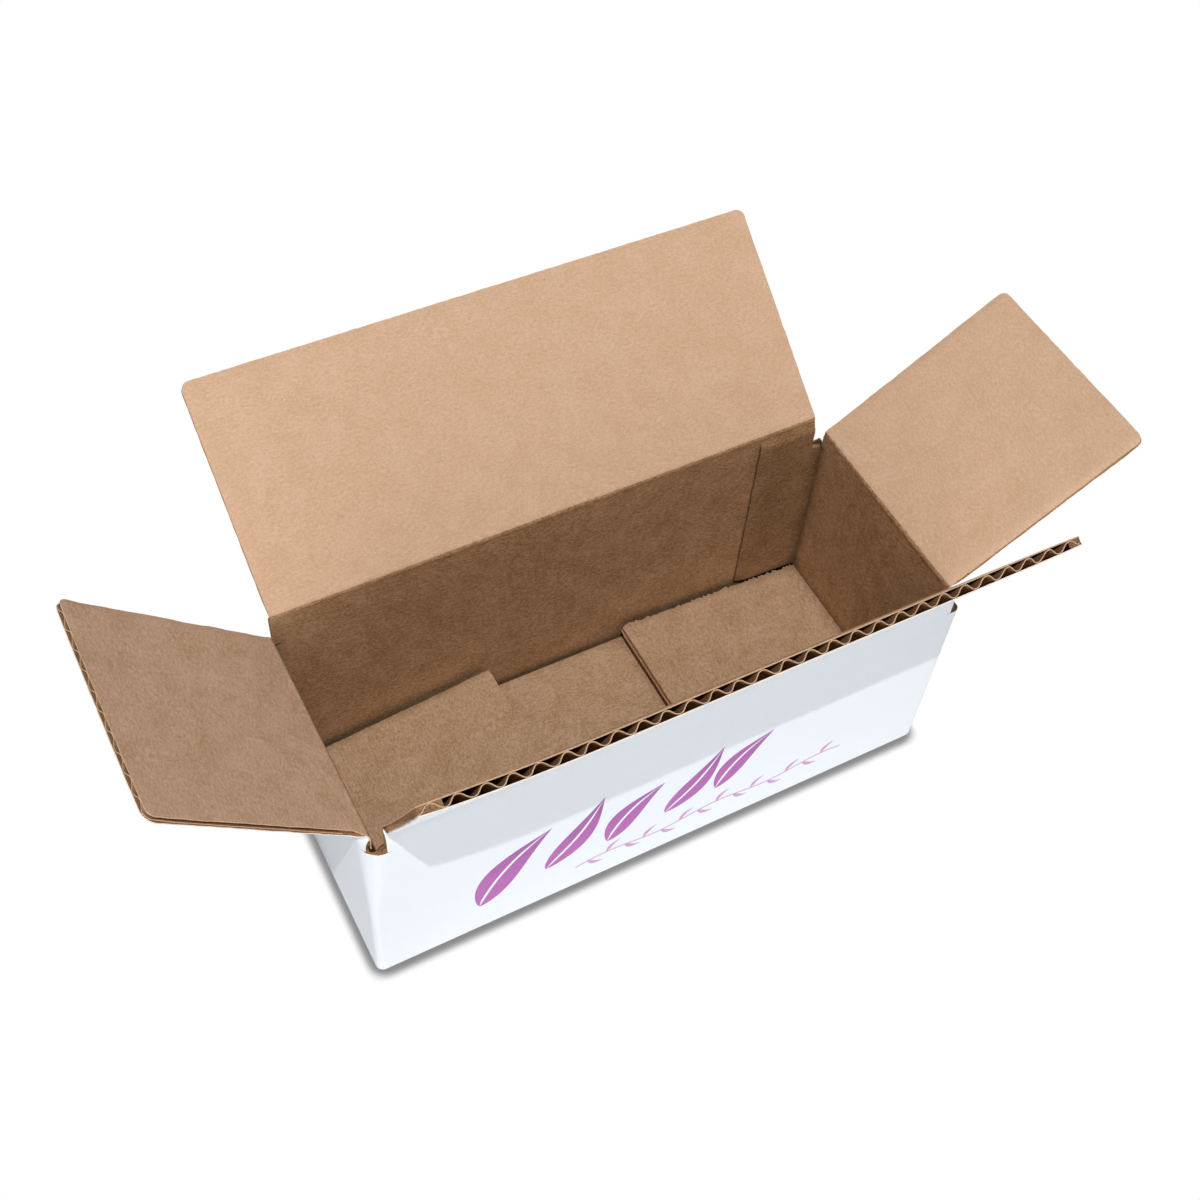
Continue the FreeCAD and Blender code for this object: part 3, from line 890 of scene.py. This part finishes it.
def wall_ring():
    """The four walls up to the slots, one closed sheet with its edge showing in the slots."""
    bends = np.radians(np.linspace(0, 90, 7))
    heights = np.linspace(BASE_RADIUS, SLOT_FLOOR, 40)[1:]
    outer_z = np.concatenate([BASE_RADIUS * (1 - np.cos(bends)), heights])
    inner_z = np.concatenate([np.linspace(0.4, BASE_RADIUS, len(bends)), heights])
    inset = np.concatenate([BASE_RADIUS * (1 - np.sin(bends)), np.zeros(len(heights))])
    inside = inner_outline()
    outer, inner, across = [], [], []
    for height, inner_height, margin in zip(outer_z, inner_z, inset):
        share = smooth((height - ROUND_FROM) / (SLOT_FLOOR - ROUND_FROM))
        front_left = WALL_CORNER + (SLOT_RADIUS - WALL_CORNER) * share
        radii = (front_left, WALL_CORNER, SEAM_CORNER, WALL_CORNER)
        ring, ring_x = rounded_path(HALF_LENGTH - margin, HALF_WIDTH - margin, radii)
        outer.append(np.column_stack([ring, np.full(len(ring), height)]))
        inner.append(np.column_stack([inside, np.full(len(inside), inner_height)]))
        across.append(ring_x)
    outer, inner, across = (np.stack(levels, 1) for levels in (outer, inner, across))
    wear_slots(outer, inner, heights)
    on_long_wall = np.abs(outer[..., 1]) / HALF_WIDTH > np.abs(outer[..., 0]) / HALF_LENGTH
    long_fold = np.where(outer[..., 1] > 0, BACK.origin[2], FRONT.origin[2])
    fold_height = np.where(on_long_wall, long_fold, LEFT.origin[2])
    board_outer = np.stack([across, outer[..., 2] - fold_height, np.full(across.shape, OUTER_FACE)], -1)
    board_inner = np.stack([across, inner[..., 2] - fold_height, np.full(across.shape, INNER_FACE)], -1)
    # Inside, the darker painted-shade copy of the kraft; in the slots, torn fluting darkened as painted
    # shade.
    return slab("walls", outer, inner, [WHITE, KRAFT_INSIDE_PAINTED_SHADE, TORN_FLUTING_AND_SHADE], board_outer, board_inner, closed=True)


walls = wall_ring()
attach(walls, "carton_body")
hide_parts("carton_body")


# ---------------------------------------------------------------- bottom flaps and glue tab

def ride_on_body(piece):
    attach(piece, "carton_body")


def bottom_flap(name, origin, outward, turn, width, seed, start, kraft_rough):
    """One of the flat flaps, which starts a little in from its fold, where the walls' foot bends."""
    fold = Fold(origin, outward, turn, width, seed, hinged=False, corners=(0.6, 0.6))
    # The kraft liner takes the bottom flaps' darker painted-shade copy.
    inner = liner(
        f"{name}_kraft_liner", fold, "kraft", [KRAFT_FLOOR_PAINTED_SHADE, FLUTE, RAW], start,
        kraft_rough, 0.12, seed + 1, step=0.6, grain=0.9,
    )
    outer = liner(f"{name}_white_liner", fold, "white", [FLUTE, WHITE, RAW], start, (0.1, 0.1), 0.1, seed + 2)
    core = crushed_layer(f"{name}_crushed_fluting", fold, start)
    ride_on_body(inner)
    ride_on_body(outer)
    ride_on_body(core)


FOLD_INSET = BOARD - INNER_FACE
FOLD_X = HALF_LENGTH - FOLD_INSET
FOLD_Y = HALF_WIDTH - FOLD_INSET
END_LAYER = 2 * LAYER + BOARD - INNER_FACE
bottom_flap(
    "bottom_front", (0, -FOLD_Y, FOLD_INSET), (0, 1, 0), 90, LONG_FLAP, 500,
    start=0.5, kraft_rough=(0.1, 0.1),
)
bottom_flap(
    "bottom_left", (-FOLD_X, 0, END_LAYER), (1, 0, 0), 90 - LEFT_LIFT, SHORT_FLAP, 600,
    start=0.6, kraft_rough=(0.15, 0.6),
)
bottom_flap(
    "bottom_right", (FOLD_X, 0, END_LAYER), (-1, 0, 0), 90 - RIGHT_LIFT, SHORT_FLAP, 700,
    start=0.6, kraft_rough=(0.15, 1.0),
)


def inner_bottom():
    """The long flap from the back wall, which steps up over the edge of the outer one."""
    wall = HALF_WIDTH - BOARD
    run = 1.5
    step = wall - run
    on_step = wall - np.array([0.1, 0.35, 0.7, 1.1])
    y = np.concatenate([on_step, np.linspace(step, FOLD_Y - REACH, 46)])
    x, y = np.meshgrid(np.linspace(-LONG_FLAP / 2, LONG_FLAP / 2, 150), y, indexing="ij")
    drop = np.clip((y - step) / run, 0, 1)
    high = LAYER + BOARD - 2.9 * smooth(drop)
    low = LAYER - 3.1 * smooth(drop * 1.1)
    board = np.stack([x, y, np.full(x.shape, INNER_FACE)], -1)
    # The kraft liner takes the bottom flaps' darker painted-shade copy.
    sheets = (
        ("kraft_liner", high, high - LINER, [KRAFT_FLOOR_PAINTED_SHADE, FLUTE, RAW], "kraft_board"),
        ("white_liner", low + LINER, low, [FLUTE, WHITE, RAW], "carton_board"),
        ("crushed_fluting", high - 0.9, low + 0.9, [FLUTE, FLUTE, RAW], "kraft_board"),
    )
    for sheet, top_z, bottom_z, materials, slot in sheets:
        grids = (np.stack([x, y, top_z], -1), np.stack([x, y, bottom_z], -1), board, board)
        top, bottom, board_top, board_bottom = (grid[:, ::-1] for grid in grids)
        ride_on_body(slab(f"bottom_back_{sheet}", top, bottom, materials, board_top, board_bottom))


inner_bottom()


def glue_tab():
    """The tab on the end of the sheet, glued inside the back wall and pressed thin.

    u runs from its free edge to the right wall, and t from its foot to its head.
    """
    wall_x = HALF_LENGTH - BOARD
    wall_y = HALF_WIDTH - BOARD
    edge = wall_x - TAB_WIDTH
    head = BACK.origin[2] - TAB_BELOW_FOLD
    u, t = np.meshgrid(np.linspace(0, 1, 24), np.linspace(0, 1, 60), indexing="ij")
    foot = TAB_FOOT + TAB_SLANT * (1 - u)
    z = foot + (head - foot) * t
    far_end = np.where(z > SLOT_FLOOR, LONG_FLAP / 2 - TAB_CUT_BACK, wall_x + TAB_INTO_WALL)
    x = edge + (far_end - edge) * u + 0.16 * rough(z, 950, 1.6) * (1 - u)
    # It thins out towards its head and its free edge, where it also lifts off the wall.
    thick = TAB_THICKNESS - 1.3 * (1 - smooth((1 - t) * 22)) - 0.8 * (1 - smooth(u * 5))
    gap = np.minimum(0.3 * (1 - smooth(u * 6)), thick - 0.15)
    face = np.stack([x, wall_y - thick, z], -1)
    back = np.stack([x, wall_y - 0.02 - gap, z], -1)
    board = np.stack([x + 40.0, z, np.full(x.shape, INNER_FACE)], -1)
    # The tab takes the darkest painted-shade copy of the kraft.
    ride_on_body(slab("glue_tab", face, back, [KRAFT_TAB_PAINTED_SHADE] * 3, board, board))


glue_tab()


# ---------------------------------------------------------------- print

# How far the ink stands off the wall's face and goes into it.
INK_FILM = 0.035
INK_DEPTH = 0.02


def leaf_edges(length, width, curve, count=40):
    """A curved leaf along +x, pointed at its far end: its x and its upper edge, middle and lower edge."""
    t = np.linspace(0, 1, count)
    thickness = width * np.sin(math.pi * t ** 0.75) * (1 - 0.25 * t)
    middle = curve * np.sin(math.pi * t)
    return t * length, middle + thickness / 2, middle, middle - thickness / 2


def turned(x, z, angle):
    """Points (x, z) of a leaf, turned up from level in the plane of the front wall."""
    c, s = math.cos(angle), math.sin(angle)
    return np.stack([x, z], -1) @ np.array([[c, s], [-s, c]])


def print_strip(name, centre, upper, lower, material):
    """A closed film of ink on the front wall between two edges, each an array of (x, z)."""
    share = np.linspace(0, 1, 6)[None, :, None]
    grid = upper[:, None, :] * share + lower[:, None, :] * (1 - share) + np.asarray(centre)
    x, z = grid[..., 0], grid[..., 1]
    face = np.stack([x, np.full(x.shape, -HALF_WIDTH - INK_FILM), z], -1)
    back = np.stack([x, np.full(x.shape, -HALF_WIDTH + INK_DEPTH), z], -1)
    board = np.stack([x, z, np.zeros(x.shape)], -1)
    ride_on_body(slab(name, face, back, [material] * 3, board, board))


def split_leaf(name, place, length, width, curve, angle):
    """A leaf of two halves, with its vein left white. The lower half is the fuller one."""
    along, high, middle, low = leaf_edges(length, width, curve)
    vein = np.minimum(0.9, (high - low) * 0.12)
    halves = {"upper": (high, middle + vein), "lower": (middle - vein * 0.2, low)}
    for half, (top, bottom) in halves.items():
        upper = turned(along, top, angle)
        lower = turned(along, np.minimum(bottom, top), angle)
        print_strip(f"print_{name}_{half}", place, upper, lower, INK)


# The foot of each large leaf (x, z), then its length, width, curve and angle.
LEAVES = (
    ((-61.0, 15.0), 36.0, 14.0, 3.0, 52),
    ((-40.0, 20.0), 33.0, 11.0, -2.5, 58),
    ((-20.0, 20.5), 27.0, 11.5, 2.6, 50),
    ((-1.0, 22.5), 30.0, 10.5, -2.4, 55),
    ((16.0, 24.0), 27.0, 10.5, 2.4, 50),
)
STEM_START = -30.0
STEM_END = 62.0
STEM_HEIGHT = 12.5
STEM_HALF = 0.28
# The small leaves: how many, how far apart, and their length and width.
SMALL_LEAVES = 14
SMALL_LEAF_PITCH = 6.2
SMALL_LEAF = (6.5, 1.7)


def stem(x):
    """The height of the sprig's wavy stem."""
    along = x - STEM_START
    return STEM_HEIGHT + 0.03 * along + 1.1 * np.sin(along / 6.0)


def sprig():
    """A thin wavy stem with small leaves on both sides."""
    x = np.linspace(STEM_START, STEM_END, 140)
    upper = np.stack([x, stem(x) + STEM_HALF], -1)
    lower = np.stack([x, stem(x) - STEM_HALF], -1)
    print_strip("print_stem", (0.0, 0.0), upper, lower, INK_LIGHT)
    for number in range(SMALL_LEAVES):
        foot = STEM_START + 4.0 + SMALL_LEAF_PITCH * number
        side = 1 if number % 2 else -1
        angle = math.radians(38 * side + 8)
        along, high, _, low = leaf_edges(*SMALL_LEAF, 0.9 * side, count=16)
        upper, lower = turned(along, high, angle), turned(along, low, angle)
        print_strip(f"print_small_leaf_{number + 1}", (foot, stem(foot)), upper, lower, INK_LIGHT)


def ornament():
    """Five large slanted leaves over a thin sprig."""
    for number, (place, length, width, curve, angle) in enumerate(LEAVES):
        split_leaf(f"leaf_{number + 1}", place, length, width, curve, math.radians(angle))
    sprig()


ornament()


# ---------------------------------------------------------------- stage, light and camera

FLOOR_HALF = 3000.0
FLOOR_Z = -0.05
# How open the floor is to the space above it, and its grey there: the carton's contact shadow, which
# reaches about as far as CONTACT_REACH.
CONTACT_REACH = 3.8
CONTACT_SHADOW = (
    (0.54, 0.26), (0.66, 0.325), (0.745, 0.44), (0.83, 0.655), (0.909, 0.855), (0.975, 0.95), (1.0, 1.0),
)
FILL_SIZE = 0.9
FILL_DISTANCE = 1.4
# The area lamps: the direction they shine from, as seen from the carton, and their power.
FILLS = {
    "front_fill": ((-0.12, -1.0, 0.35), 6.75),
    "left_fill": ((-1.0, -0.2, 0.35), 2.4),
    "top_fill": ((-0.5, -0.35, 0.9), 1.5),
    "back_fill": ((0.1, 1.0, 0.3), 2.5),
    "right_fill": ((1.0, 0.1, 0.25), 0.8),
}


def floor_material():
    """White to the eye, with the carton's contact shadow, and pale grey as a source of bounced light."""
    material = bpy.data.materials.new("floor")
    nodes = Nodes(material)
    output = nodes.add("ShaderNodeOutputMaterial")
    diffuse = nodes.add("ShaderNodeBsdfDiffuse")
    diffuse.inputs["Color"].default_value = (0.8, 0.8, 0.8, 1)
    glow = nodes.add("ShaderNodeEmission")
    greys = [(place, (grey, grey, grey)) for place, grey in CONTACT_SHADOW]
    nodes.link(nodes.ramp(nodes.openness(CONTACT_REACH, 16), *greys), glow.inputs["Color"])
    glow.inputs["Strength"].default_value = 1.0
    nodes.link(nodes.choose_seen(diffuse, glow), output.inputs["Surface"])
    return material


def stage():
    corners = [(-1, -1), (1, -1), (1, 1), (-1, 1)]
    points = [(x * FLOOR_HALF, y * FLOOR_HALF, FLOOR_Z) for x, y in corners]
    add_mesh("floor", points, [(0, 1, 2, 3)], [0], [floor_material()])


def background(nodes, colour, strength):
    node = nodes.add("ShaderNodeBackground")
    node.inputs["Color"].default_value = colour
    node.inputs["Strength"].default_value = strength
    return node


def world():
    """White to the eye, and a faint cool light on everything."""
    sky = bpy.data.worlds.new("studio")
    bpy.context.scene.world = sky
    nodes = Nodes(sky)
    output = nodes.add("ShaderNodeOutputWorld")
    light = background(nodes, (0.96, 0.98, 1.0, 1), 0.02)
    white = background(nodes, (1.0, 1.0, 1.0, 1), 1.0)
    nodes.link(nodes.choose_seen(light, white), output.inputs["Surface"])


def lamp(kind, name, towards, energy, distance):
    """A lamp that shines from the direction towards, as seen from the carton."""
    data = bpy.data.lights.new(name, kind)
    data.energy = energy
    lamp_object = bpy.data.objects.new(name, data)
    direction = Vector(towards).normalized()
    lamp_object.location = direction * distance
    lamp_object.rotation_mode = "QUATERNION"
    lamp_object.rotation_quaternion = direction.to_track_quat("Z", "Y")
    bpy.context.scene.collection.objects.link(lamp_object)
    return data


def lamps():
    key = lamp("SUN", "key", (-0.15, -0.322, 0.935), 2.05, 1.0)
    key.angle = math.radians(0.6)
    for name, (towards, energy) in FILLS.items():
        fill = lamp("AREA", name, towards, energy, FILL_DISTANCE)
        fill.size = FILL_SIZE


def camera():
    data = bpy.data.cameras.new("camera")
    data.sensor_width = 36.0
    data.lens = 48.868
    data.clip_start = 0.01
    cam = bpy.data.objects.new("camera", data)
    cam.location = (-0.149534, -0.225793, 0.441882)
    cam.rotation_euler = [math.radians(angle) for angle in (36.659, -3.342, -27.854)]
    bpy.context.scene.collection.objects.link(cam)
    bpy.context.scene.camera = cam


stage()
world()
lamps()
camera()

bpy.context.scene.view_settings.view_transform = "Standard"
